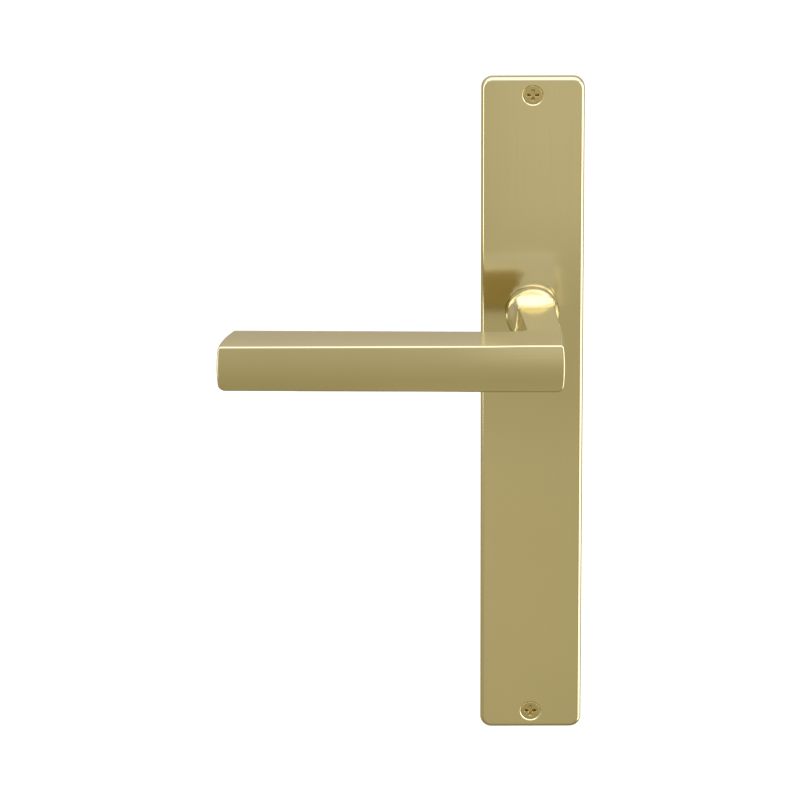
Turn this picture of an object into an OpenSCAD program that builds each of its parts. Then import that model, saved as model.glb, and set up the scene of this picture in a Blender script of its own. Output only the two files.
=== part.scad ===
// Lever handle on a long backplate, for one side of a latched door.
// The origin is on the spindle's axis at the face of the door.
// +X points to the grip's heel, +Y into the door and +Z up. Sizes are in millimetres.

/* [Backplate] */
// Height of the backplate
plate_h = 240; // [200:1:280]
// Width of the backplate
plate_w = 35.4; // [34:0.1:50]
// Thickness of the backplate
plate_t = 3.2; // [3:0.1:5]
// Radius of the outline's corners
corner_r = 4; // [2:0.5:8]
// Rounding of the front edge
edge_r = 1.3; // [0.5:0.1:2]
// Height of the spindle's axis above the plate's middle
axis_up = 35.4; // [20:0.1:50]
// Distance from a fixing screw to the plate's end
screw_inset = 6.2; // [6:0.1:12]

/* [Lever] */
// Length of the grip, from heel to tip
grip_len = 118.3; // [90:0.1:140]
// Height of the grip
grip_h = 16.1; // [14:0.1:18]
// Thickness of the grip at the neck, from front to back
grip_d = 15.7; // [14:0.1:17]
// Thickness of the grip at its tip
tip_d = 18; // [16:0.1:20]
// Reach from the plate's face to the grip's face
reach = 48.6; // [40:0.1:60]
// How far the grip's middle sits below the spindle's axis
grip_drop = 3.3; // [2.6:0.1:4]
// Distance from the spindle's axis to the grip's heel
heel = 10.3; // [9.7:0.1:12]
// Diameter of the neck
neck_d = 18.6; // [18:0.1:19]
// Angle that the lever turns down through
swing = 42; // [30:1:45]

/* [Spindle] */
// Width across the square spindle's flats
spindle_w = 8; // [7:0.1:8]
// Length of spindle behind the door's face
spindle_out = 64; // [40:1:90]

/* [Spring cassette] */
// Width of the cassette
case_w = 31; // [31:0.5:33]
// Height of the cassette
case_h = 49; // [49:0.5:60]
// Diameter of the spring wire
wire_d = 0.9; // [0.7:0.1:1]
// Turns in each return spring
spring_turns = 8; // [6:1:9]

/* [Fixing screws] */
// Diameter of a fixing screw's shank
shank_d = 3.5; // [3:0.1:3.6]
// Length of a fixing screw
screw_len = 18; // [16:1:40]

/* [Hidden] */
$fn = 64;

brass = [0.72, 0.63, 0.42];
steel = [0.62, 0.63, 0.65];
zinc = [0.50, 0.51, 0.53];
nylon = [0.90, 0.89, 0.85];
eps = 0.1;                          // overrun of a cut past a face

// Backplate
plate_top = plate_h / 2 - axis_up;
plate_bottom = plate_top - plate_h;
screw_zs = [plate_top - screw_inset, plate_bottom + screw_inset];
neck_gap = 0.15;                    // ring of air between the neck and the plate

// Journal and bush
journal_d = 16;
running = 0.05;                     // radial clearance of a running fit
flange_d = 22;
flange_t = 1.6;
sleeve_d = 19;
washer_t = 0.3;
shoulder_y = -flange_t - washer_t - running;

// Depths behind the door's face, front to back
base_t = 1.4;                       // floor of the housing
retainer_t = 0.4;
circlip_t = 1;
circlip_y = base_t + retainer_t;
tail_end = circlip_y + circlip_t + 0.6;
rotor_y = tail_end + 0.3;
rotor_t = 4.4;
rotor_end = rotor_y + rotor_t;
disc_t = 0.5;
case_t = rotor_end + disc_t;
cover_t = 1;
cover_end = case_t + cover_t;

// Circlip
groove_d = 14.6;
circlip_d = 18.4;
retainer_d = 18.6;

// Rotor and its chamber
hub_d = 17;
hub_room = 1;                       // space around the hub, and around the circlip
boss_d = 14;
socket_w = spindle_w + 0.1;
arm_h = 5;
arm_r = 13.6;
chamber_r = 14;
arm_gap = 0.05;                     // gap between an arm and a stop
pin_d = 3;
pin_r = 10.2;                       // how far along the arm a stop pin bears

// Return springs
spring_x = 10.6;
spring_d = 5;
spring_y = rotor_y + rotor_t / 2;
channel_w = 5.6;
channel_end = 18;
post_d = 2.8;
post_len = 4.2;
spring_top = arm_h / 2 + 0.1;
spring_len = channel_end - 0.1 - spring_top;

// Cassette screws, M3
m3_d = 3;
m3_clear = 3.2;
m3_depth = 2.4;                     // thread depth in the plate
m3_head_d = 5.6;
m3_head_h = 1.8;
m3_x = 11.5;
m3_z = 21;
m3_places = [[-m3_x, m3_z], [m3_x, m3_z], [m3_x, -m3_z], [-m3_x, -m3_z]];

// Lever
neck_r = neck_d / 2;
grip_front = -plate_t - reach;
grip_back = grip_front + grip_d;
collar_t = 3;                       // straight part of the collar, out from the plate
dome_r = 5;                         // flat end of the collar's dome
dome_t = 5.5;
ramp_from = 4.2;                    // how far out the ramp on top of the neck starts
ramp_fade = 1.5;                    // how quickly it runs out into the flat
ramp_r = 6.7;                       // the ramp's width follows a circle
ramp_x = 0.9;
ramp_z = 2.6;
flat_z = 5.2;                       // height of the neck's flat top at the ramp
neck_root = [-6.2, 6.9];            // the neck's sides at the plate
neck_under = -7.5;                  // and its underside
neck_left = -2.1;                   // its left side at the grip
neck_draft = 1.3;                   // how far the left side leans out at its foot
under_gap = 0.8;                    // how far its underside stays above the grip's
heel_crown = 0.3;                   // how far the crowned heel stands out past the neck
heel_drop = 0.8;                    // how much deeper the grip's underside is at the heel
grip_edge = 0.8;
under_r = 3.6;                      // rounding of the grip's lower back edge
tip_back_r = 3;
tip_set_back = 3.4;                 // the tip is shorter at the back
spindle_in = 6.5;                   // length of spindle in the neck
grub_d = 5;
grub_len = 4.4;
grub_hex = 2.5;
grub_out = 3.4;                     // from the plate's face to the grub screw

// Countersunk fixing screws
head_d = 6.5;
rim_h = 0.25;
csk_d = 7.4;
clear_d = 3.8;
plain_end = 4;                      // end of the plain shank
thread_pitch = 1.6;
core_d = 2.4;
tip_len = 3.2;
cross_l = 4;
cross_w = 0.8;
cross_depth = 1.5;

// A solid between two depths along Y, from an outline drawn in X and Z
module slab(y0, y1) {
    translate([0, y1, 0]) rotate([90, 0, 0]) linear_extrude(y1 - y0) children();
}

// A round bar along Y
module rod(y0, y1, d, x = 0, z = 0) {
    translate([x, y1, z]) rotate([90, 0, 0]) cylinder(h = y1 - y0, d = d);
}

// A flat ring along Y
module ring(y0, y1, d_out, d_in) {
    difference() {
        rod(y0, y1, d_out);
        rod(y0 - eps, y1 + eps, d_in);
    }
}

// A body turned about Y, from an outline of [radius, y] points
module turned(points) {
    rotate([-90, 0, 0]) rotate_extrude() polygon(points);
}

// A rectangle with round corners
module round_rect(w, h, r) {
    square([w - 2 * r, h], center = true);
    square([w, h - 2 * r], center = true);
    for (x = [-1, 1], z = [-1, 1])
        translate([x * (w / 2 - r), z * (h / 2 - r)]) circle(r);
}

// One corner of the backplate: a disc with a rounded front edge
module plate_corner() {
    arc = [for (a = [0:15:90])
        [corner_r - edge_r + edge_r * cos(a), edge_r - plate_t - edge_r * sin(a)]];
    turned(concat([[0, 0], [corner_r, 0]], arc, [[0, -plate_t]]));
}

module countersink(z) {
    sink = (csk_d - clear_d) / 2;
    translate([0, 0, z]) turned([
        [0, -plate_t - eps], [csk_d / 2 + eps, -plate_t - eps],
        [clear_d / 2, -plate_t + sink], [clear_d / 2, eps], [0, eps]
    ]);
}

module backplate() {
    x = plate_w / 2 - corner_r;
    color(brass) difference() {
        hull() for (sx = [-x, x], z = [plate_top - corner_r, plate_bottom + corner_r])
            translate([sx, 0, z]) plate_corner($fn = 48);
        rod(-plate_t - eps, eps, neck_d + 2 * neck_gap);
        rod(-flange_t, eps, flange_d);
        for (z = screw_zs) countersink(z);
        for (p = m3_places) rod(-m3_depth, eps, m3_d, p[0], p[1]);
    }
}

module plate_bush() {
    color(nylon) difference() {
        union() {
            rod(-flange_t, 0, flange_d);
            rod(0, base_t, sleeve_d);
        }
        rod(-flange_t - eps, base_t + eps, journal_d + 2 * running);
    }
}

module thrust_washer() {
    color(nylon) ring(-flange_t - washer_t, -flange_t, neck_d - 0.2, journal_d + 0.3);
}

// Height of the neck's top at a distance out from the plate
function neck_top(s) =
    let (far = reach - grip_d, flat = flat_z + (grip_h / 2 - grip_drop - flat_z) * s / far)
    flat + (neck_r - flat) * exp(-max(s - ramp_from, 0) / ramp_fade);

// The ramp between the collar and the neck's flat top, seen from the side
module ramp_outline() {
    top = [for (s = concat([ramp_from - 3], [for (k = [0:16]) ramp_from + 0.6 * k]))
        [-plate_t - s, neck_top(s)]];
    polygon(concat(top, [[top[len(top) - 1][0], 0], [top[0][0], 0]]));
}

// The round collar, with a domed front
module collar() {
    arc = [for (a = [0:10:90]) [dome_r + (neck_r - dome_r) * cos(a),
                                -plate_t - collar_t - dome_t * sin(a)]];
    turned(concat([[0, shoulder_y], [neck_r, shoulder_y]], arc, [[0, -plate_t - collar_t - dome_t]]));
}

// A tapered neck with flat sides, which grows out of the collar
module neck_form() {
    root_y = -plate_t - 2;
    top = grip_h / 2 - grip_drop;
    under = -grip_h / 2 - grip_drop + under_gap;
    right = heel - heel_crown;
    collar();
    hull() {
        slab(root_y - eps, root_y) polygon([
            [neck_root[0], flat_z], [neck_root[1], flat_z],
            [neck_root[1], neck_under], [neck_root[0] - neck_draft, neck_under]
        ]);
        slab(grip_back - 6, grip_back) polygon([
            [neck_left, top], [right, top], [right, under], [neck_left - neck_draft, under]
        ]);
    }
    intersection() {
        rod(-plate_t - 12, root_y, 2 * ramp_r, ramp_x, ramp_z);
        rotate([90, 0, 90]) translate([0, 0, -neck_r]) linear_extrude(neck_d) ramp_outline();
    }
}

// The straight grip, with soft edges and a tip that is shorter at the back
module grip() {
    tip = heel - grip_len;
    z_edge = grip_h / 2 - grip_edge;
    back_x = tip + tip_set_back + tip_back_r;
    tip_back = grip_front + tip_d;
    translate([0, 0, -grip_drop]) hull() {
        for (p = [[tip + grip_edge, -z_edge], [tip + grip_edge, z_edge],
                  [heel - grip_edge, -z_edge - heel_drop], [heel - grip_edge, z_edge]])
            translate([p[0], grip_front + grip_edge, p[1]]) sphere(grip_edge, $fn = 24);
        translate([heel - grip_edge, grip_back - grip_edge, z_edge]) sphere(grip_edge, $fn = 24);
        for (p = [[back_x, tip_back, 0], [heel - under_r, grip_back, -heel_drop]])
            translate([p[0], p[1] - under_r, p[2] + under_r - grip_h / 2]) sphere(under_r, $fn = 36);
        translate([back_x, tip_back - tip_back_r, (grip_h - tip_back_r) / 2])
            scale([2, 2, 1]) sphere(tip_back_r / 2, $fn = 24);
    }
}

module lever() {
    socket = [socket_w, tail_end + spindle_in + plate_t + eps, socket_w];
    color(brass) difference() {
        union() {
            neck_form();
            grip();
            rod(shoulder_y - eps, tail_end, journal_d);
        }
        translate([-socket_w / 2, -spindle_in - plate_t, -socket_w / 2]) cube(socket);
        translate([0, -plate_t - grub_out, -neck_r - eps])
            cylinder(h = neck_r, d = grub_d);
        difference() {
            rod(circlip_y, circlip_y + circlip_t, journal_d + 2);
            rod(circlip_y - eps, circlip_y + circlip_t + eps, groove_d);
        }
    }
}

module grub_screw() {
    top = -spindle_w / 2;
    color(steel) translate([0, -plate_t - grub_out, top - grub_len]) difference() {
        cylinder(h = grub_len, d = grub_d);
        translate([0, 0, -eps]) cylinder(h = 2.2, d = grub_hex / cos(30), $fn = 6);
    }
}

module spindle() {
    front = -plate_t - spindle_in + 0.5;
    bevel = 0.8;
    color(steel) hull() {
        slab(front, spindle_out) square(spindle_w - 2 * bevel, center = true);
        slab(front + bevel, spindle_out - bevel) square(spindle_w, center = true);
    }
}

// The space that the rotor and the springs need inside the housing
module chamber() {
    difference() {
        circle(chamber_r);
        for (s = [-1, 1]) scale([s, s])
            translate([-chamber_r - 1, arm_h / 2 + arm_gap]) square([chamber_r, chamber_r]);
    }
    circle(hub_d / 2 + hub_room);
    for (s = [-1, 1]) rotate(s > 0 ? 0 : 180)
        translate([-spring_x - channel_w / 2, -channel_end]) square([channel_w, channel_end]);
}

module spring_post() {
    translate([-spring_x, spring_y, -channel_end]) cylinder(h = post_len, d = post_d, $fn = 32);
}

module cassette_housing() {
    color(zinc) difference() {
        slab(0, case_t) round_rect(case_w, case_h, corner_r);
        slab(base_t, case_t + eps) chamber();
        rod(-eps, base_t + eps, sleeve_d);
        for (p = m3_places) rod(-eps, case_t + eps, m3_clear, p[0], p[1]);
        for (a = [0, 180]) rotate([0, a, 0]) stop_pin_solid();
    }
    color(zinc) for (a = [0, 180]) rotate([0, a, 0]) spring_post();
}

// A stop pin under the left arm, where that arm comes to rest at full swing
module stop_pin_solid() {
    off = arm_h / 2 + arm_gap + pin_d / 2;
    rod(0.3, case_t, pin_d, -pin_r * cos(swing) + off * sin(swing),
        -pin_r * sin(swing) - off * cos(swing));
}

module stop_pin_lower() { color(steel) stop_pin_solid(); }

module stop_pin_upper() { color(steel) rotate([0, 180, 0]) stop_pin_solid(); }

module retaining_washer() {
    color(steel) ring(base_t, circlip_y, retainer_d, journal_d + 0.3);
}

// A snap ring with its mouth at the bottom
module circlip() {
    color(steel) slab(circlip_y, circlip_y + circlip_t) difference() {
        circle(d = circlip_d);
        circle(d = groove_d + 0.1);
        translate([-4, -circlip_d]) square([8, circlip_d]);
    }
}

module rotor() {
    color(zinc) difference() {
        union() {
            rod(rotor_y, rotor_end, hub_d);
            rod(rotor_end - eps, cover_end + 0.2, boss_d);
            slab(rotor_y, rotor_end) {
                square([2 * (arm_r - arm_h / 2), arm_h], center = true);
                for (s = [-1, 1]) translate([s * (arm_r - arm_h / 2), 0]) circle(d = arm_h);
            }
        }
        slab(rotor_y - eps, cover_end + 1) square(socket_w, center = true);
    }
}

// A slightly dished washer that takes up the end play
module disc_spring() {
    r_in = boss_d / 2 + 0.15;
    r_out = hub_d / 2;
    t = 0.25;
    color(steel) turned([
        [r_in, case_t - t], [r_in, case_t], [r_out, case_t - disc_t + t],
        [r_out, case_t - disc_t]
    ]);
}

// Height of a return spring's wire after a number of turns, with close-wound ends
function coil_rise(n) =
    let (shut = 1.08 * wire_d, open = (spring_len - wire_d - 2 * shut) / (spring_turns - 2))
    n < 1 ? shut * n :
    n < spring_turns - 1 ? shut + open * (n - 1) :
    shut + open * (spring_turns - 2) + shut * (n - spring_turns + 1);

module coil_spring() {
    per_turn = 16;
    sides = 8;
    coil_r = (spring_d - wire_d) / 2;
    rings = per_turn * spring_turns;
    points = [for (k = [0:rings], j = [0:sides - 1])
        let (a = 360 * k / per_turn, b = 360 * j / sides,
             r = coil_r + wire_d / 2 * cos(b),
             z = coil_rise(k / per_turn) + wire_d / 2 * sin(b))
        [r * cos(a), r * sin(a), z]];
    walls = [for (k = [0:rings - 1], j = [0:sides - 1])
        let (n = (j + 1) % sides)
        [k * sides + j, (k + 1) * sides + j, (k + 1) * sides + n, k * sides + n]];
    start = [for (j = [0:sides - 1]) j];
    end = [for (j = [sides - 1:-1:0]) rings * sides + j];
    polyhedron(points, concat(walls, [start, end]));
}

module return_spring_lower() {
    color(steel) translate([-spring_x, spring_y, -spring_top - spring_len + wire_d / 2])
        coil_spring();
}

module return_spring_upper() {
    color(steel) translate([spring_x, spring_y, spring_top + wire_d / 2]) coil_spring();
}

module cassette_cover() {
    color(steel) difference() {
        slab(case_t, cover_end) round_rect(case_w, case_h, corner_r);
        rod(case_t - eps, cover_end + eps, boss_d + 2 * running);
        for (p = m3_places) rod(case_t - eps, cover_end + eps, m3_clear, p[0], p[1]);
    }
}

// A pan-head machine screw that holds the cassette to the backplate
module cassette_screw(place) {
    r = m3_head_d / 2;
    y = cover_end + m3_head_h;
    color(steel) translate([place[0], 0, place[1]]) difference() {
        union() {
            rod(-m3_depth + 0.2, cover_end + eps, m3_d);
            turned([[0, cover_end], [r, cover_end], [r, y - 0.9], [r - 0.3, y - 0.35],
                    [r - 1, y], [0, y]]);
        }
        cross_recess(y, -1.1, 2.6, 0.6);
    }
}

// A cross slot cut in from a head's face at depth y
module cross_recess(y, depth, l, w) {
    for (a = [0, 90]) rotate([0, a, 0])
        translate([-l / 2, min(y + depth, y) - (depth > 0 ? eps : 0), -w / 2])
            cube([l, abs(depth) + eps, w]);
}

// A countersunk wood screw, with rings for its thread
module fixing_screw(z) {
    seat = -plate_t + csk_d / 2;        // the countersink's cone is r = seat - y
    rim_y = seat - head_d / 2;
    relief_r = shank_d / 2 - 0.25;      // the shank is relieved inside the plate
    top = rim_y - rim_h;
    tip = top + screw_len;
    turns = floor((tip - tip_len - plain_end) / thread_pitch);
    thread = [for (k = [0:turns - 1], p = [[0, core_d], [0.55, shank_d]])
        [p[1] / 2, plain_end + 0.4 + thread_pitch * (k + p[0])]];
    color(brass) translate([0, 0, z]) difference() {
        turned(concat(
            [[0, top], [head_d / 2, top], [head_d / 2, rim_y], [relief_r, seat - relief_r],
             [relief_r, -0.3], [shank_d / 2, 0], [shank_d / 2, plain_end]],
            thread,
            [[core_d / 2, tip - tip_len], [0, tip]]
        ));
        cross_recess(top, cross_depth, cross_l, cross_w);
    }
}

backplate();
plate_bush();
thrust_washer();
lever();
grub_screw();
spindle();
cassette_housing();
retaining_washer();
circlip();
rotor();
disc_spring();
return_spring_lower();
return_spring_upper();
stop_pin_lower();
stop_pin_upper();
cassette_cover();
cassette_screw(m3_places[0]);  // cassette_screw_1
cassette_screw(m3_places[1]);  // cassette_screw_2
cassette_screw(m3_places[2]);  // cassette_screw_3
cassette_screw(m3_places[3]);  // cassette_screw_4
fixing_screw(screw_zs[0]);  // fixing_screw_top
fixing_screw(screw_zs[1]);  // fixing_screw_bottom
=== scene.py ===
"""The looks of a lever handle on a long backplate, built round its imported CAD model.

+X points to the grip's heel, +Y into the door and +Z up. Lengths are in millimetres, apart from
those of the camera, the lights, the floor and the textures, which are in metres.
"""
import math

import bpy
import numpy as np
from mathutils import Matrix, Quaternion, Vector
from mathutils.geometry import tessellate_polygon


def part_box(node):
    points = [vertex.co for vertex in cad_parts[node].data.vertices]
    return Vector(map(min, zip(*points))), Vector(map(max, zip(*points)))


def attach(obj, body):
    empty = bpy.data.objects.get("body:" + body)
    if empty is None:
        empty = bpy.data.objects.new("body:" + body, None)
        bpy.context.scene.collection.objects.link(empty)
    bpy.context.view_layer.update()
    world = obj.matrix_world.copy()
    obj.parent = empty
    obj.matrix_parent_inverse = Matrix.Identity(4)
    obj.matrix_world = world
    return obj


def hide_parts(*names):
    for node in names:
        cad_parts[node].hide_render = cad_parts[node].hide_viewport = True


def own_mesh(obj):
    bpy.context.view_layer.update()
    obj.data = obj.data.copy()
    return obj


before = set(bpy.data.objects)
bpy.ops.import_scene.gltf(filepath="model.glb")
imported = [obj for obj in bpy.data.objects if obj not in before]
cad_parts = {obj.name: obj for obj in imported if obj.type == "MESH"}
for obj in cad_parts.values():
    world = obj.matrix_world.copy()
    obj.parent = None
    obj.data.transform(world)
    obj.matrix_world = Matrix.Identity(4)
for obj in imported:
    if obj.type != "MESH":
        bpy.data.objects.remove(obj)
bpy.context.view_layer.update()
MM = 0.001


def box(node):
    """Lowest and highest corner of a CAD node, in millimetres."""
    return [np.array(corner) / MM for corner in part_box(node)]


# ---------------------------------------------------------------- sizes

plate_low, plate_high = box("backplate")
lever_low, lever_high = box("lever")
PLATE_T = -plate_low[1]
PLATE_FRONT = -PLATE_T
PLATE_HALF_W = plate_high[0]
PLATE_TOP = plate_high[2]
PLATE_BOTTOM = plate_low[2]
PLATE_CORNER = 4.0
PLATE_EDGE = 1.3

NECK_R = 9.3
NECK_GAP = 0.08             # between the neck and the plate's hole
TIP = lever_low[0]
GRIP_FRONT = lever_low[1]
TAIL_END = lever_high[1]
GRIP_D = 15.7               # from front to back, at the neck
GRIP_HALF_H = 8.05
GRIP_BACK = GRIP_FRONT + GRIP_D
HEEL = 10.3
TIP_D = 18.0                # the same at the tip
FLANGE_R = 11.0             # recess for the bush's flange in the plate's back
FLANGE_T = 1.6

SPINDLE_HALF = box("spindle")[1][0]
COVER_BACK = box("cassette_cover")[1][1]


def middle(node, axis):
    return sum(corner[axis] for corner in box(node)) / 2


M3_PLACES = [(middle(f"cassette_screw_{n}", 0), middle(f"cassette_screw_{n}", 2))
             for n in (1, 2, 3, 4)]
SCREW_PLACES = {name: middle(name, 2) for name in ("fixing_screw_top", "fixing_screw_bottom")}


# ---------------------------------------------------------------- meshes with exact normals

def unit(v):
    v = np.asarray(v, float)
    return v / np.maximum(np.linalg.norm(v, axis=-1, keepdims=True), 1e-12)


JOIN_WITHIN = 1e-4          # points closer than this become one


class Shell:
    """Faces with a normal at each corner. Points that coincide are joined when it is made."""

    def __init__(self):
        self.points, self.faces, self.normals = [], [], []

    def add(self, points, normals):
        first = len(self.points)
        self.points += [tuple(p) for p in points]
        self.faces.append(range(first, first + len(points)))
        self.normals += [tuple(n) for n in normals]

    def strip(self, a, b, normals_a, normals_b):
        """Quads between two rings of as many points."""
        for i in range(len(a)):
            j = (i + 1) % len(a)
            self.add([a[i], b[i], b[j], a[j]],
                     [normals_a[i], normals_b[i], normals_b[j], normals_a[j]])

    def crease(self, a, b):
        """Flat quads between two rings of as many points."""
        for i in range(len(a)):
            j = (i + 1) % len(a)
            n = unit(np.cross(b[i] - a[j], b[j] - a[i]))
            self.add([a[i], b[i], b[j], a[j]], [n] * 4)

    def flat(self, loops, normal):
        """A flat face inside the first loop, with the other loops as its holes."""
        flat_points = [p for loop in loops for p in loop]
        for picked in tessellate_polygon([[Vector(p) for p in loop] for loop in loops]):
            triangle = [flat_points[k] for k in picked]
            turn = np.cross(triangle[1] - triangle[0], triangle[2] - triangle[0])
            if np.dot(turn, normal) < 0:
                triangle.reverse()
            self.add(triangle, [normal] * 3)

    def make(self, name, material):
        points = np.array(self.points)
        keys = np.round(points / JOIN_WITHIN).astype(np.int64)
        _, first, where = np.unique(keys, axis=0, return_index=True, return_inverse=True)
        where = where.ravel()
        faces, kept = [], []
        for face in self.faces:
            joined = [int(where[k]) for k in face]
            keep = [n for n in range(len(joined)) if joined[n] != joined[n - 1]]
            if len({joined[n] for n in keep}) > 2:
                faces.append([joined[n] for n in keep])
                kept += [face[n] for n in keep]
        mesh = bpy.data.meshes.new(name)
        mesh.from_pydata(points[first] * MM, [], faces)
        mesh.shade_smooth()
        mesh.normals_split_custom_set(np.array(self.normals)[kept])
        return place(name, mesh, material)


def place(name, mesh, material):
    mesh.materials.append(material)
    obj = bpy.data.objects.new(name, mesh)
    bpy.context.scene.collection.objects.link(obj)
    return obj


def profile(points, steps=6):
    """Rows (r, y, normal_r, normal_y) along straight runs between corners (r, y, rounding).

    A corner's rounding may be left out. The solid lies on the left of the direction of travel.
    """
    bends = [np.array(p[:2], float) for p in points]
    roundings = [p[2] if len(p) > 2 else 0 for p in points]
    rows = []
    for k, here in enumerate(bends):
        ways = []
        if k > 0:
            ways.append(unit(here - bends[k - 1]))
        if k < len(bends) - 1:
            ways.append(unit(bends[k + 1] - here))
        outs = [np.array([w[1], -w[0]]) for w in ways]
        if len(ways) == 1 or roundings[k] == 0:
            rows += [(here, out) for out in outs]
            continue
        turn = math.atan2(ways[0][0] * ways[1][1] - ways[0][1] * ways[1][0], ways[0] @ ways[1])
        back = roundings[k] * math.tan(abs(turn) / 2)
        start = here - ways[0] * back
        side = math.copysign(1, turn)
        centre = start - outs[0] * roundings[k] * side
        for n in range(steps + 1):
            a = turn * n / steps
            out = np.array([outs[0][0] * math.cos(a) - outs[0][1] * math.sin(a),
                            outs[0][0] * math.sin(a) + outs[0][1] * math.cos(a)])
            rows.append((centre + out * roundings[k] * side, out))
    return [(p[0], p[1], n[0], n[1]) for p, n in rows]


def circle(x=0.0, z=0.0, steps=64):
    """An outline that grows from one point: its base points and its directions in X and Z."""
    a = np.linspace(0, 2 * math.pi, steps, endpoint=False)
    ways = np.stack([np.cos(a), np.sin(a)], 1)
    return np.tile([x, z], (steps, 1)), ways


def corners(half_w, top, bottom, steps=14):
    """An outline that grows from the four corner centres of a round-cornered rectangle."""
    base, ways = [], []
    places = ((half_w, top), (-half_w, top), (-half_w, bottom), (half_w, bottom))
    for (x, z), start in zip(places, (0, 90, 180, 270)):
        for a in np.radians(np.linspace(start, start + 90, steps)):
            base.append((x, z))
            ways.append((math.cos(a), math.sin(a)))
    return np.array(base), np.array(ways)


def ring(outline, r, y):
    """An outline grown by r, at depth y."""
    base, ways = outline
    flat = base + ways * r
    return np.stack([flat[:, 0], np.full(len(flat), y), flat[:, 1]], 1)


def swept(shell, outline, rows):
    """Walls that follow the profile's rows round an outline."""
    ways = outline[1]
    for (r0, y0, nr0, ny0), (r1, y1, nr1, ny1) in zip(rows, rows[1:]):
        if abs(r0 - r1) + abs(y0 - y1) < 1e-6:
            continue
        n0 = np.stack([ways[:, 0] * nr0, np.full(len(ways), ny0), ways[:, 1] * nr0], 1)
        n1 = np.stack([ways[:, 0] * nr1, np.full(len(ways), ny1), ways[:, 1] * nr1], 1)
        shell.strip(ring(outline, r0, y0), ring(outline, r1, y1), n0, n1)


# ---------------------------------------------------------------- solids from a distance field

def blend_in(a, b, r):
    """The overlap of two solids, with its edge rounded to r."""
    return np.minimum(np.maximum(a, b), -r) + np.hypot(np.maximum(a + r, 0), np.maximum(b + r, 0))


def blend_out(a, b, r):
    """The union of two solids, with a fillet of radius r."""
    return np.maximum(np.minimum(a, b), r) - np.hypot(np.maximum(r - a, 0), np.maximum(r - b, 0))


def slope_of(field, p, h=0.01):
    """The field's slope at points, from differences over 2h."""
    out = np.empty_like(p)
    for k in range(3):
        step = np.zeros(3)
        step[k] = h
        up, down = p + step, p - step
        out[:, k] = (field(*up.T) - field(*down.T)) / (2 * h)
    return out


def field_mesh(name, material, field, low, high, pitch):
    """A mesh of the surface where field is 0, with one point in each cell that it crosses.

    Each point starts at the mean of the crossings on its cell's edges, and is then moved onto the
    surface along the field's slope. Faces join the four cells round each crossed edge.
    """
    axes = [np.arange(low[k] - 1.5 * pitch, high[k] + 2.5 * pitch, pitch) for k in range(3)]
    shape = [len(a) for a in axes]
    values = np.empty(shape, np.float32)
    for i, x in enumerate(axes[0]):
        values[i] = field(*np.meshgrid(x, axes[1], axes[2], indexing="ij"))[0]
    total = np.zeros([n - 1 for n in shape] + [3])
    count = np.zeros([n - 1 for n in shape])
    spans = []
    for k in range(3):
        a = np.take(values, range(shape[k] - 1), k)
        b = np.take(values, range(1, shape[k]), k)
        change = (a < 0) != (b < 0)
        share = np.where(change, a / np.where(change, a - b, 1), 0)
        spans.append((change, a < 0))
        u, v = [m for m in range(3) if m != k]
        for du in (0, 1):
            for dv in (0, 1):
                cut = [slice(None)] * 3
                cut[u] = slice(du, shape[u] - 1 + du)
                cut[v] = slice(dv, shape[v] - 1 + dv)
                hit = change[tuple(cut)]
                total[..., k] += np.where(hit, share[tuple(cut)], 0)
                total[..., u] += hit * du
                total[..., v] += hit * dv
                count += hit
    crossed = count > 0
    number = np.full(crossed.shape, -1, np.int64)
    number[crossed] = np.arange(crossed.sum())
    cells = np.argwhere(crossed)
    first = np.array([a[0] for a in axes])
    points = first + (cells + total[crossed] / count[crossed][:, None]) * pitch
    for _ in range(4):
        slope = slope_of(field, points)
        steepness = np.maximum((slope ** 2).sum(1), 1e-9)[:, None]
        step = field(*points.T)[:, None] * slope / steepness
        points -= np.clip(step, -pitch / 2, pitch / 2)
    faces = []
    for k, (change, starts_in) in enumerate(spans):
        u, v = [(1, 2), (2, 0), (0, 1)][k]
        inner = [slice(1, n - 1) for n in shape]
        inner[k] = slice(0, shape[k] - 1)
        at = np.argwhere(change[tuple(inner)]) + [0 if m == k else 1 for m in range(3)]
        quad = []
        for du, dv in ((-1, -1), (0, -1), (0, 0), (-1, 0)):
            cell = at.copy()
            cell[:, u] += du
            cell[:, v] += dv
            quad.append(number[tuple(cell.T)])
        quad = np.stack(quad, 1)
        flip = ~starts_in[tuple(at.T)]
        quad[flip] = quad[flip][:, ::-1]
        faces.append(quad)
    faces = np.concatenate(faces)
    mesh = bpy.data.meshes.new(name)
    mesh.from_pydata(points * MM, [], faces.tolist())
    mesh.shade_smooth()
    mesh.normals_split_custom_set_from_vertices(unit(slope_of(field, points, 0.03)))
    return place(name, mesh, material)


# ---------------------------------------------------------------- materials

def nodes_of(name):
    material = bpy.data.materials.new(name)
    material.use_nodes = True
    tree = material.node_tree
    return material, tree, tree.nodes["Principled BSDF"]


def node(tree, kind, **inputs):
    made = tree.nodes.new(kind)
    for key, value in inputs.items():
        made.inputs[key.replace("_", " ")].default_value = value
    return made


def grain(tree, stretch, detail=3.0):
    """Drawn-out noise: stretch is how many grains there are to a metre along X, Y and Z."""
    coord = tree.nodes.new("ShaderNodeTexCoord")
    mapping = tree.nodes.new("ShaderNodeMapping")
    mapping.inputs["Scale"].default_value = stretch
    noise = node(tree, "ShaderNodeTexNoise", Scale=1.0, Detail=detail, Roughness=0.6)
    tree.links.new(coord.outputs["Object"], mapping.inputs["Vector"])
    tree.links.new(mapping.outputs["Vector"], noise.inputs["Vector"])
    return noise.outputs["Fac"]


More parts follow.
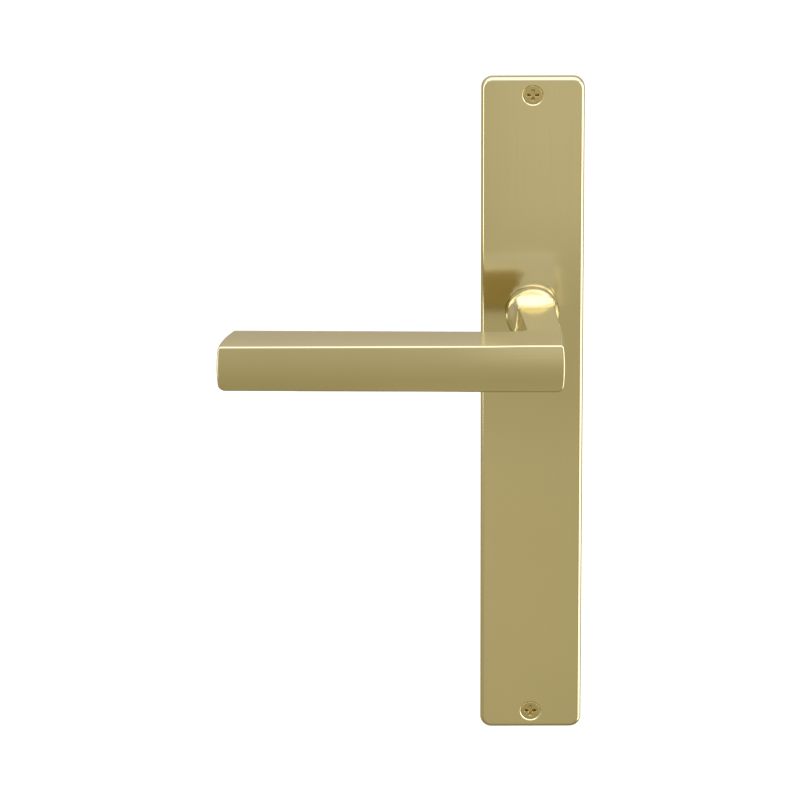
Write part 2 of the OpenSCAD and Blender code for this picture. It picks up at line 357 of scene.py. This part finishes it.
def ramp(tree, value, stops):
    """A colour or grey that follows a value, through stops of (value, colour or grey)."""
    made = tree.nodes.new("ShaderNodeValToRGB")
    band = made.color_ramp
    while len(band.elements) < len(stops):
        band.elements.new(0.5)
    for element, (at, colour) in zip(band.elements, stops):
        element.position = at
        element.color = (*(colour if isinstance(colour, tuple) else (colour,) * 3), 1)
    tree.links.new(value, made.inputs["Fac"])
    return made.outputs["Color"]


def metal(name, dark, light, rough, stretch, depth, patch=(14, 14, 14)):
    """Metal with a drawn-out grain in its gloss and surface, and slow shifts between two tones.

    depth is the height of the grain in metres.
    """
    material, tree, shader = nodes_of(name)
    shader.inputs["Metallic"].default_value = 1.0
    fine = grain(tree, stretch)
    slow = grain(tree, patch, 2.0)
    tree.links.new(ramp(tree, slow, [(0.3, dark), (0.7, light)]), shader.inputs["Base Color"])
    tree.links.new(ramp(tree, fine, [(0.3, rough * 0.85), (0.7, rough * 1.15)]),
                   shader.inputs["Roughness"])
    bump = node(tree, "ShaderNodeBump", Strength=1.0, Distance=depth)
    tree.links.new(fine, bump.inputs["Height"])
    tree.links.new(bump.outputs["Normal"], shader.inputs["Normal"])
    return material


BRASS_DARK = (0.745, 0.672, 0.440)
BRASS_LIGHT = (0.775, 0.700, 0.465)
BRASS_ROUGH = 0.15
BRASS_GRAIN = 1.6e-6
plate_brass = metal("satin_brass_plate", BRASS_DARK, BRASS_LIGHT, BRASS_ROUGH,
                    (1900, 1900, 28), BRASS_GRAIN)
lever_brass = metal("satin_brass_lever", BRASS_DARK, BRASS_LIGHT, BRASS_ROUGH,
                    (28, 1500, 1500), BRASS_GRAIN)
screw_brass = metal("brass_screws", (0.60, 0.51, 0.26), (0.66, 0.56, 0.30), 0.2,
                    (900, 900, 900), 3e-6)
bright_steel = metal("bright_steel", (0.60, 0.61, 0.62), (0.68, 0.68, 0.69), 0.24,
                     (900, 60, 900), 4e-6)
plated_steel = metal("plated_steel", (0.58, 0.60, 0.62), (0.70, 0.70, 0.70), 0.3,
                     (700, 700, 50), 4e-6, (60, 60, 60))
spring_steel = metal("spring_steel", (0.28, 0.28, 0.29), (0.40, 0.40, 0.41), 0.3,
                     (500, 500, 500), 4e-6)
cast_zinc = metal("cast_zinc", (0.36, 0.37, 0.38), (0.46, 0.47, 0.48), 0.48,
                  (900, 900, 900), 2.5e-5, (90, 90, 90))


def nylon_material():
    material, tree, shader = nodes_of("nylon")
    tone = grain(tree, (80, 80, 80))
    tree.links.new(ramp(tree, tone, [(0.3, (0.72, 0.70, 0.63)), (0.7, (0.80, 0.78, 0.72))]),
                   shader.inputs["Base Color"])
    shader.inputs["Roughness"].default_value = 0.42
    bump = node(tree, "ShaderNodeBump", Strength=1.0, Distance=1e-5)
    tree.links.new(grain(tree, (2500, 2500, 2500)), bump.inputs["Height"])
    tree.links.new(bump.outputs["Normal"], shader.inputs["Normal"])
    return material


nylon = nylon_material()


# ---------------------------------------------------------------- the lever

GRIP_DROP = 3.3             # how far the grip's middle sits below the spindle's axis
GRIP_MIDDLE = GRIP_FRONT + GRIP_D / 2
NECK_LENGTH = -PLATE_T - GRIP_BACK
COLLAR_T = 3.0              # straight part of the collar, out from the plate
COLLAR_FILLET = 1.8         # between the collar's dome and the neck
DOME_R = 5.0                # flat end of the dome
DOME_T = 5.5

ROOT_LEFT, ROOT_RIGHT = -6.2, 6.9   # the neck's sides at the plate
ROOT_UNDER = -7.5           # its underside there
NECK_LEFT = -2.1            # its left side where it meets the grip
NECK_DRAFT = 1.3            # how far that side leans out at its foot
NECK_LAP = 6                # how far the neck runs into the grip
NECK_START = 1              # how far in front of the plate it starts, inside the collar
NECK_MARGIN = 4             # its top and underside hold this far past its left side
NECK_MERGE = 3              # run in which the grip's underside becomes the neck's
UNDER_GAP = 0.8             # how far the neck's underside stays above the grip's
FILLET = 3.0                # between the neck's left side and the grip's back
FILLET_FADE = 3             # width over which it fades towards the neck's right side

FLAT_Z = 5.2                # height of the neck's flat top at the ramp
RAMP_FROM = 4.2             # how far out the ramp on top of the neck starts
RAMP_FADE = 1.5
RAMP_R = 6.7                # the ramp's width follows a circle round RAMP_X and RAMP_Z
RAMP_X = 0.9
RAMP_Z = 2.6
RAMP_EDGE = 0.6
RAMP_RUN = 0.8              # past this run the circle opens out, by RAMP_OPEN times the square
RAMP_OPEN = 3
HEIGHT_SCALE = 0.9          # keeps the top's distance true where the ramp is steep

FACE_CROWN = 150.0          # radius of the slight crown of the grip's long faces
END_CROWN = 62.0            # and of its two ends
CROWN_FROM = 2              # the top and underside are crowned from here, towards the tip
CROWN_FADE = 14
HEEL_CROWN = 0.3            # how far the crowned heel stands out past the neck
HEEL_DROP = 0.8             # how much deeper the grip's underside is at the heel
TIP_SLANT = 0.12            # the tip gets shorter towards the back, by TIP_SLANT and TIP_BEND
TIP_BEND = 0.009
LONG_EDGE = 0.55            # rounding of the grip's long edges
UNDER_EDGE = 3.4            # rounding of its lower back edge
UNDER_EDGE_FROM = 5         # how deep that rounding starts, and the run in which it grows
UNDER_EDGE_FADE = 5
TOP_CORNER = 0.9            # corners of the grip seen from the front
LOW_CORNER = 2.3
HALF_FADE = 4               # height over which the upper half's roundings become the lower's

SHOULDER = -1.95            # back of the collar, inside the plate
JOURNAL_R = 8.0
JOURNAL_EDGE = 0.3
GROOVE_FROM, GROOVE_TO, GROOVE_R = 1.8, 2.8, 7.3
SOCKET_HALF = SPINDLE_HALF + 0.05
SOCKET_END = -9.7
GRUB_Y = -6.6
GRUB_R = 2.5
CUT_EDGE = 0.15


def ease(value):
    share = np.clip(value, 0, 1)
    return share * share * (3 - 2 * share)


def collar_field(x, y, z):
    out = -PLATE_T - y
    wide, high = NECK_R - DOME_R, DOME_T
    past_r = np.maximum(np.hypot(x, z) - DOME_R, 0)
    past_straight = np.maximum(out - COLLAR_T, 0)
    dome = (np.hypot(past_r / wide, past_straight / high) - 1) * wide
    return np.maximum(dome, y - SHOULDER)


def neck_top(out):
    """Height of the neck's top: a ramp from the collar down to a nearly level flat."""
    flat = FLAT_Z + (GRIP_HALF_H - GRIP_DROP - FLAT_Z) * out / NECK_LENGTH
    return flat + (NECK_R - flat) * np.exp(-np.maximum(out - RAMP_FROM, 0) / RAMP_FADE)


def handle_field(x, y, z):
    """The grip and its flat-sided neck: one plan seen from above, between a top and an underside."""
    out = -PLATE_T - y
    middle_z = z + GRIP_DROP
    deep = y - GRIP_FRONT
    along = np.clip(out / NECK_LENGTH, 0, 1.3)
    to_tip = np.clip(x / TIP, 0, 1)
    end_crown = middle_z ** 2 / (2 * END_CROWN)

    left = ROOT_LEFT + (NECK_LEFT - ROOT_LEFT) * along
    left_side = left - NECK_DRAFT * np.clip((FLAT_Z - z) / (FLAT_Z - ROOT_UNDER), 0, 1.4)
    right = ROOT_RIGHT + (HEEL - HEEL_CROWN - ROOT_RIGHT) * along
    back = y - GRIP_BACK - (TIP_D - GRIP_D) * to_tip
    bar = np.maximum(GRIP_FRONT - y, back) + middle_z ** 2 / (2 * FACE_CROWN)
    neck = np.maximum(np.maximum(left_side - x, x - right + along * end_crown),
                      np.maximum(GRIP_BACK - NECK_LAP - y, y + PLATE_T + NECK_START))
    plan = blend_out(bar, neck, FILLET * ease((FILLET_FADE - x) / FILLET_FADE) + 0.01)

    crown = np.minimum(np.abs(y - GRIP_MIDDLE), GRIP_D / 2) ** 2 / (2 * FACE_CROWN)
    crown = crown * ease((-x - CROWN_FROM) / CROWN_FADE)
    in_neck = ease((y - GRIP_BACK) / NECK_MERGE)
    high = np.where((y < GRIP_BACK) | (x < left - NECK_MARGIN),
                    GRIP_HALF_H - GRIP_DROP - crown, neck_top(out) - crown)
    under_grip = -GRIP_HALF_H - GRIP_DROP - HEEL_DROP * (1 - to_tip)
    under_neck = ROOT_UNDER + (-GRIP_HALF_H - GRIP_DROP + UNDER_GAP - ROOT_UNDER) * along
    low = under_grip + (under_neck - under_grip) * in_neck * (left - NECK_MARGIN < x)
    level = np.maximum((z - high) * HEIGHT_SCALE, low - z)

    heel = x - HEEL + end_crown
    tip = TIP + TIP_SLANT * deep + TIP_BEND * deep ** 2 + end_crown - x
    ends = np.maximum(heel, tip)
    lower_half = ease(0.5 - middle_z / HALF_FADE)
    corner = TOP_CORNER + (LOW_CORNER - TOP_CORNER) * lower_half
    shape = blend_in(level, ends, corner)
    at_back = (ease((deep - UNDER_EDGE_FROM) / UNDER_EDGE_FADE)
               * ease((GRIP_BACK + NECK_LAP - y) / UNDER_EDGE_FADE))
    edge = LONG_EDGE + (UNDER_EDGE - LONG_EDGE) * lower_half * at_back
    shape = blend_in(plan, shape, edge)
    open_out = RAMP_OPEN * np.maximum(out - RAMP_FROM - RAMP_RUN, 0) ** 2
    arch = np.hypot(x - RAMP_X, np.maximum(z - RAMP_Z, 0)) - RAMP_R - open_out
    shape = blend_in(shape, np.where(z > RAMP_Z, arch, -1), RAMP_EDGE)
    return np.maximum(shape, y + PLATE_T + NECK_START)


def lever_field(x, y, z):
    solid = blend_out(collar_field(x, y, z), handle_field(x, y, z), COLLAR_FILLET)
    from_axis = np.hypot(x, z)
    journal_ends = np.maximum(y - TAIL_END, SHOULDER - 1 - y)
    solid = np.minimum(solid, blend_in(from_axis - JOURNAL_R, journal_ends, JOURNAL_EDGE))
    groove = np.maximum(np.maximum(GROOVE_FROM - y, y - GROOVE_TO), GROOVE_R - from_axis)
    socket = np.maximum(np.maximum(np.abs(x), np.abs(z)) - SOCKET_HALF, SOCKET_END - y)
    grub = np.maximum(np.hypot(x, y - GRUB_Y) - GRUB_R, z)
    cut = np.minimum(np.minimum(groove, socket), grub)
    return blend_in(solid, -cut, CUT_EDGE)


def make_lever():
    pitch = 0.4
    piece = field_mesh("lever_casting", lever_brass, lever_field, lever_low, lever_high, pitch)
    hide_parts("lever")
    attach(piece, "lever")


make_lever()


# ---------------------------------------------------------------- the backplate

CSK_R = 3.7                 # the countersinks' mouth and clearance hole
CSK_CLEAR_R = 1.9
CSK_EDGE = 0.1
CSK_RIM_R = CSK_R + 0.12
M3_R = 1.5
M3_DEPTH = 2.4
NECK_RIM = 0.06
BACK_EDGE = 0.2
BACK_INSET = 1              # where the plate's walls end and its flat back starts


def make_backplate():
    shell = Shell()
    outline = corners(PLATE_HALF_W - PLATE_CORNER, PLATE_TOP - PLATE_CORNER,
                      PLATE_BOTTOM + PLATE_CORNER)
    inner = PLATE_CORNER - PLATE_EDGE
    swept(shell, outline, profile([
        (inner, PLATE_FRONT), (PLATE_CORNER, PLATE_FRONT, PLATE_EDGE),
        (PLATE_CORNER, 0, BACK_EDGE), (PLATE_CORNER - BACK_INSET, 0)], 10))
    hub = circle(steps=96)
    hub_r = NECK_R + NECK_GAP
    swept(shell, hub, profile([
        (FLANGE_R, 0), (FLANGE_R, -FLANGE_T), (hub_r, -FLANGE_T),
        (hub_r, PLATE_FRONT, NECK_RIM), (hub_r + NECK_RIM, PLATE_FRONT)]))
    fronts, backs = [ring(hub, hub_r + NECK_RIM, PLATE_FRONT)], [ring(hub, FLANGE_R, 0)]
    for z in SCREW_PLACES.values():
        hole = circle(0, z)
        sink = CSK_R - CSK_CLEAR_R
        swept(shell, hole, profile([
            (CSK_CLEAR_R, 0), (CSK_CLEAR_R, PLATE_FRONT + sink),
            (CSK_R, PLATE_FRONT, CSK_EDGE), (CSK_RIM_R, PLATE_FRONT)]))
        fronts.append(ring(hole, CSK_RIM_R, PLATE_FRONT))
        backs.append(ring(hole, CSK_CLEAR_R, 0))
    for x, z in M3_PLACES:
        hole = circle(x, z, 32)
        swept(shell, hole, profile([(M3_R, 0), (M3_R, -M3_DEPTH), (0, -M3_DEPTH)]))
        backs.append(ring(hole, M3_R, 0))
    shell.flat([ring(outline, inner, PLATE_FRONT)] + fronts, (0, -1, 0))
    shell.flat([ring(outline, PLATE_CORNER - BACK_INSET, 0)] + backs, (0, 1, 0))
    piece = shell.make("backplate_plate", plate_brass)
    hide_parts("backplate")
    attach(piece, "plate")


make_backplate()


# ---------------------------------------------------------------- screws

def cross(half_l, half_w, y, z=0.0, soft=0.12, web=0.22):
    """The outline of a cross slot, going round in the same sense as a circle."""
    arm = [(half_w + web, -half_w), (half_l - soft, -half_w), (half_l, -half_w + soft),
           (half_l, half_w - soft), (half_l - soft, half_w), (half_w + web, half_w)]
    loop = []
    for quarter in range(4):
        c, s = round(math.cos(quarter * math.pi / 2)), round(math.sin(quarter * math.pi / 2))
        loop += [(u * c - v * s, y, u * s + v * c + z) for u, v in arm]
    return np.array(loop)


def cross_head(shell, r, face, half_l, half_w, depth, z=0.0):
    """A head's face out to radius r, with a tapered cross recess sunk in it."""
    lip = 0.07
    rim = cross(half_l + lip, half_w + lip, face, z)
    mouth = cross(half_l, half_w, face + lip, z)
    floor = cross(half_l * 0.5, half_w * 0.62, face + depth, z, 0.06, 0.1)
    shell.flat([ring(circle(0, z), r, face), rim], (0, -1, 0))
    shell.crease(mouth, rim)
    shell.crease(floor, mouth)
    shell.flat([floor], (0, -1, 0))


def wood_thread(shell, z, start, end, core, crest, pitch, tip_len, shank):
    """A helical thread that runs out at a point."""
    around, per_turn = 36, 10
    turns = (end - start) / pitch
    rows = np.linspace(start, end, int(turns * per_turn) + 1)
    a = np.linspace(0, 2 * math.pi, around, endpoint=False)
    along, angle = np.meshgrid(rows, a, indexing="ij")
    phase = ((along - start) / pitch - angle / (2 * math.pi)) % 1
    ridge = np.clip(1 - np.abs(phase - 0.5) / 0.3, 0, 1)
    grown = np.clip((along - start) / pitch - 0.5, 0, 1)
    thin = np.clip((end - along) / tip_len, 0, 1) ** 0.8
    root = core + (shank - core) * np.clip(1 - (along - start) / 0.6, 0, 1)
    r = (root + (crest - core) * ridge * grown) * thin
    grid = np.stack([r * np.cos(angle), along, r * np.sin(angle) + z], -1)
    before, after = np.roll(grid, 1, 1), np.roll(grid, -1, 1)
    normals = unit(np.cross(np.gradient(grid, axis=0), after - before))
    for k in range(len(rows) - 1):
        shell.strip(grid[k], grid[k + 1], normals[k], normals[k + 1])


SCREW_HEAD_R = 3.25
SCREW_HEAD_RIM = 0.45
SCREW_SHANK_R = 1.75
SCREW_CORE_R = 1.2
SCREW_PLAIN_END = 4.0
SCREW_PITCH = 1.6
SCREW_POINT = 3.2
SCREW_SEAT = -PLATE_T + CSK_R   # where the countersink's cone would reach the axis
SCREW_NECK_R = 1.5
SCREW_CROSS = 2.05, 0.5, 1.5    # the recess: half its length, half an arm's width, and its depth


def make_fixing_screw(name, z):
    low, high = box(name)
    face, tip = low[1], high[1]
    shell = Shell()
    dish = SCREW_HEAD_R - SCREW_HEAD_RIM
    cross_head(shell, dish, face, *SCREW_CROSS, z)
    swept(shell, circle(0, z), profile([
        (dish, face), (SCREW_HEAD_R, face, 0.18),
        (SCREW_HEAD_R, SCREW_SEAT - SCREW_HEAD_R, 0.04),
        (SCREW_NECK_R, SCREW_SEAT - SCREW_NECK_R, 0.2), (SCREW_NECK_R, -0.3),
        (SCREW_SHANK_R, 0), (SCREW_SHANK_R, SCREW_PLAIN_END)]))
    wood_thread(shell, z, SCREW_PLAIN_END, tip, SCREW_CORE_R, SCREW_SHANK_R - 0.02,
                SCREW_PITCH, SCREW_POINT, SCREW_SHANK_R)
    piece = shell.make(name + "_body", screw_brass)
    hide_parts(name)
    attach(piece, "plate")


for screw, height in SCREW_PLACES.items():
    make_fixing_screw(screw, height)


PAN_CROSS = 1.3, 0.34, 1.1
PAN_FLAT_R = 1.75
PAN_SHOULDER = 0.45, 0.15   # the dome's bend, in from the rim and down from the face
PAN_RIM = 0.8               # height of the dome above the head's straight wall
PAN_EDGE = 0.5
M3_BEVEL = 0.4


def make_cassette_screw(name, x, z):
    """A pan-head screw, made facing the front and then turned to face the back."""
    low, high = box(name)
    face, seat, end = -high[1], -COVER_BACK, -low[1]
    head_r = (high[0] - low[0]) / 2
    shell = Shell()
    cross_head(shell, PAN_FLAT_R, face, *PAN_CROSS, z)
    swept(shell, circle(0, z), profile([
        (PAN_FLAT_R, face), (head_r - PAN_SHOULDER[0], face + PAN_SHOULDER[1], PAN_EDGE),
        (head_r, face + PAN_RIM, PAN_EDGE), (head_r, seat, 0.08),
        (M3_R, seat), (M3_R, end - M3_BEVEL), (M3_R - M3_BEVEL, end), (0, end)]))
    shell.points = [(x - p[0], -p[1], p[2]) for p in shell.points]
    shell.normals = [(-n[0], -n[1], n[2]) for n in shell.normals]
    piece = shell.make(name + "_body", bright_steel)
    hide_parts(name)
    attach(piece, "plate")


for number, (place_x, place_z) in enumerate(M3_PLACES, 1):
    make_cassette_screw(f"cassette_screw_{number}", place_x, place_z)


# ---------------------------------------------------------------- spindle, cover and springs

SPINDLE_EDGE = 0.35
SPINDLE_BEVEL = 0.8
SPINDLE_TIP_EDGE = 0.2
COVER_CORNER = 4.0
COVER_EDGE = 0.3
COVER_FRONT_EDGE = 0.12
COVER_HOLE_EDGE = 0.15
COVER_HOLE_R = 7.05
COVER_SCREW_HOLE_R = 1.6


def make_spindle():
    low, high = box("spindle")
    half = high[0]
    start, end = low[1], high[1]
    side = half - SPINDLE_EDGE
    end_side = half - SPINDLE_BEVEL - SPINDLE_TIP_EDGE
    shell = Shell()
    body = corners(side, side, -side, 5)
    tips = corners(end_side, end_side, -end_side, 5)
    swept(shell, body, profile([(SPINDLE_EDGE, start + SPINDLE_BEVEL),
                                (SPINDLE_EDGE, end - SPINDLE_BEVEL)]))
    shell.crease(ring(tips, SPINDLE_TIP_EDGE, start),
                 ring(body, SPINDLE_EDGE, start + SPINDLE_BEVEL))
    shell.crease(ring(body, SPINDLE_EDGE, end - SPINDLE_BEVEL),
                 ring(tips, SPINDLE_TIP_EDGE, end))
    shell.flat([ring(tips, SPINDLE_TIP_EDGE, start)], (0, -1, 0))
    shell.flat([ring(tips, SPINDLE_TIP_EDGE, end)], (0, 1, 0))
    piece = shell.make("spindle_bar", bright_steel)
    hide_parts("spindle")
    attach(piece, "lever")


def make_cover():
    """The cassette's back plate, with rolled edges and its holes."""
    low, high = box("cassette_cover")
    front, back, r = low[1], high[1], COVER_CORNER
    shell = Shell()
    outline = corners(high[0] - r, high[2] - r, low[2] + r)
    swept(shell, outline, profile([
        (r - COVER_EDGE, front), (r, front, COVER_FRONT_EDGE),
        (r, back, COVER_EDGE), (r - COVER_EDGE, back)]))
    fronts = [ring(outline, r - COVER_EDGE, front)]
    backs = [ring(outline, r - COVER_EDGE, back)]
    holes = [(0, 0, COVER_HOLE_R)] + [(x, z, COVER_SCREW_HOLE_R) for x, z in M3_PLACES]
    for x, z, hole_r in holes:
        hole = circle(x, z)
        rim_r = hole_r + COVER_HOLE_EDGE
        swept(shell, hole, profile([
            (rim_r, back), (hole_r, back, COVER_HOLE_EDGE), (hole_r, front)]))
        fronts.append(ring(hole, hole_r, front))
        backs.append(ring(hole, rim_r, back))
    shell.flat(fronts, (0, -1, 0))
    shell.flat(backs, (0, 1, 0))
    piece = shell.make("cassette_cover_sheet", plated_steel)
    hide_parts("cassette_cover")
    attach(piece, "plate")


SPRING_WIRE = 0.9
SPRING_TURNS = 8
SPRING_END_RISE = 1.08 * SPRING_WIRE    # rise of each close-wound end turn
STEPS_PER_TURN = 32


def make_spring(name):
    """A compression spring with close-wound ends."""
    low, high = box(name)
    centre = (low + high) / 2
    coil_r = (high[0] - low[0] - SPRING_WIRE) / 2
    turns = np.linspace(0, SPRING_TURNS, SPRING_TURNS * STEPS_PER_TURN + 1)
    height = high[2] - low[2] - SPRING_WIRE
    rise = np.interp(turns, [0, 1, SPRING_TURNS - 1, SPRING_TURNS],
                     [0, SPRING_END_RISE, height - SPRING_END_RISE, height])
    a = 2 * math.pi * turns
    out = np.stack([np.cos(a), np.sin(a), np.zeros_like(a)], 1)
    lift = np.stack([0 * a, 0 * a, low[2] + SPRING_WIRE / 2 + rise], 1)
    line = centre * [1, 1, 0] + out * coil_r + lift
    along = unit(np.gradient(line, axis=0))
    up = unit(np.cross(out, along))
    shell = Shell()
    b = np.linspace(0, 2 * math.pi, 12, endpoint=False)[:, None]
    normals = [out[k] * np.cos(b) + up[k] * np.sin(b) for k in range(len(line))]
    rings = [line[k] + normals[k] * SPRING_WIRE / 2 for k in range(len(line))]
    for k in range(len(line) - 1):
        shell.strip(rings[k + 1], rings[k], normals[k + 1], normals[k])
    shell.flat([rings[0]], tuple(-along[0]))
    shell.flat([rings[-1]], tuple(along[-1]))
    piece = shell.make(name + "_coil", spring_steel)
    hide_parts(name)
    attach(piece, "plate")
    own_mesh(piece)


make_spindle()
make_cover()
make_spring("return_spring_lower")
make_spring("return_spring_upper")


# ---------------------------------------------------------------- CAD nodes that stay

KEPT = {
    "plate_bush": nylon, "thrust_washer": nylon, "grub_screw": bright_steel,
    "cassette_housing": cast_zinc, "retaining_washer": bright_steel, "circlip": spring_steel,
    "rotor": cast_zinc, "disc_spring": spring_steel, "stop_pin_lower": bright_steel,
    "stop_pin_upper": bright_steel,
}
for kept_name, finish in KEPT.items():
    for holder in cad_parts[kept_name].material_slots:
        holder.material = finish


# ---------------------------------------------------------------- camera and light, in metres

CAMERA_LENS = 297.6
CAMERA_DISTANCE = 2.2973
CAMERA_ELEVATION = math.radians(19.99)
CAMERA_ROLL = math.radians(-0.16)
AIM = Vector((-0.04577, -PLATE_T * MM, -0.03223))


def add_camera():
    camera = bpy.data.objects.new("camera", bpy.data.cameras.new("camera"))
    bpy.context.scene.collection.objects.link(camera)
    back = Vector((0, -math.cos(CAMERA_ELEVATION), math.sin(CAMERA_ELEVATION)))
    camera.location = AIM + back * CAMERA_DISTANCE
    turn = (-back).to_track_quat("-Z", "Y") @ Quaternion((0, 0, 1), CAMERA_ROLL)
    camera.rotation_euler = turn.to_euler()
    camera.data.lens = CAMERA_LENS
    camera.data.clip_end = 100
    bpy.context.scene.camera = camera


def add_panel(name, centre, size, radiance, tone=(1, 1, 1), facing=None):
    """A soft box that faces the object, or the way it is told to."""
    data = bpy.data.lights.new(name, "AREA")
    data.shape = "RECTANGLE"
    data.size, data.size_y = size
    data.energy = radiance * math.pi * size[0] * size[1]
    panel = bpy.data.objects.new(name, data)
    panel.location = centre
    data.color = tone
    facing = facing or Vector((0, 0, centre[2])) - Vector(centre)
    panel.rotation_euler = facing.to_track_quat("-Z", "Y").to_euler()
    bpy.context.scene.collection.objects.link(panel)


SKY_PEAK = 4.0              # the sky's levels are held as shares of this
WARM = (1, 0.89, 0.52)
PLAIN = (1, 1, 1)
COOL = (0.96, 0.97, 1)
SKY_FRONT = [               # degrees above the horizon, level and tone
    (-90, 0.30, WARM), (-28, 0.37, WARM), (-23, 0.42, WARM), (-17, 0.51, (1, 0.91, 0.60)),
    (-10, 0.56, (1, 0.93, 0.68)), (5, 0.64, (1, 0.97, 0.87)), (20, 0.74, COOL), (32, 1.2, COOL),
    (48, 2.0, PLAIN), (90, 1.7, PLAIN)]
SKY_BACK = [
    (-90, 0.30, WARM), (-20, 0.42, WARM), (8, 0.50, (1, 0.92, 0.75)), (20, 0.58, (1, 0.92, 0.75)),
    (30, 0.68, (1, 0.94, 0.82)), (48, 1.2, PLAIN), (62, 1.6, PLAIN), (90, 1.7, PLAIN)]


def add_sky():
    """Soft light whose strength follows the height that it comes from, with a brighter front."""
    world = bpy.data.worlds.new("studio")
    bpy.context.scene.world = world
    world.use_nodes = True
    tree = world.node_tree
    coord = tree.nodes.new("ShaderNodeTexCoord")
    parts = tree.nodes.new("ShaderNodeSeparateXYZ")
    tree.links.new(coord.outputs["Generated"], parts.inputs["Vector"])

    def spread(value, low, high):
        made = node(tree, "ShaderNodeMapRange", From_Min=low, From_Max=high)
        tree.links.new(value, made.inputs["Value"])
        return made.outputs["Result"]

    def by_height(levels):
        stops = [((math.sin(math.radians(a)) + 1) / 2,
                  tuple(level * tint / SKY_PEAK for tint in tone)) for a, level, tone in levels]
        return ramp(tree, spread(parts.outputs["Z"], -1, 1), stops)

    front = by_height(SKY_FRONT)
    back = by_height(SKY_BACK)
    mix = tree.nodes.new("ShaderNodeMixRGB")
    tree.links.new(spread(parts.outputs["Y"], -0.3, 0.3), mix.inputs["Fac"])
    tree.links.new(front, mix.inputs["Color1"])
    tree.links.new(back, mix.inputs["Color2"])
    sky = tree.nodes["Background"]
    sky.inputs["Strength"].default_value = SKY_PEAK
    tree.links.new(mix.outputs["Color"], sky.inputs["Color"])


def add_floor():
    """A pale floor, well below the object, which hangs as it does on a door."""
    half, level = 30.0, -0.9
    mesh = bpy.data.meshes.new("floor")
    mesh.from_pydata([(x * half, y * half, level) for x, y in ((-1, -1), (1, -1), (1, 1), (-1, 1))],
                     [], [(0, 1, 2, 3)])
    material, tree, shader = nodes_of("floor")
    tone = grain(tree, (0.6, 0.6, 0.6))
    tree.links.new(ramp(tree, tone, [(0.3, 0.86), (0.7, 0.88)]), shader.inputs["Base Color"])
    shader.inputs["Roughness"].default_value = 0.9
    floor = place("floor", mesh, material)
    floor.visible_glossy = False


add_camera()
add_sky()
add_panel("panel_left", (-0.75, -0.75, 0.10), (0.45, 1.0), 1.6)
add_panel("panel_right", (0.8, -0.4, -0.25), (1.1, 1.5), 1.6)
TO_THE_DOOR = Vector((0, 1, 0))
add_panel("panel_high_plate", (0.02, -0.5, -0.08), (0.065, 0.13), 0.17, (1, 0.98, 0.90),
          TO_THE_DOOR)
add_panel("panel_low_plate", (0.0, -0.5, -0.31), (0.12, 0.17), 0.10, (1, 0.95, 0.80),
          TO_THE_DOOR)
add_floor()
bpy.context.scene.view_settings.view_transform = "Standard"
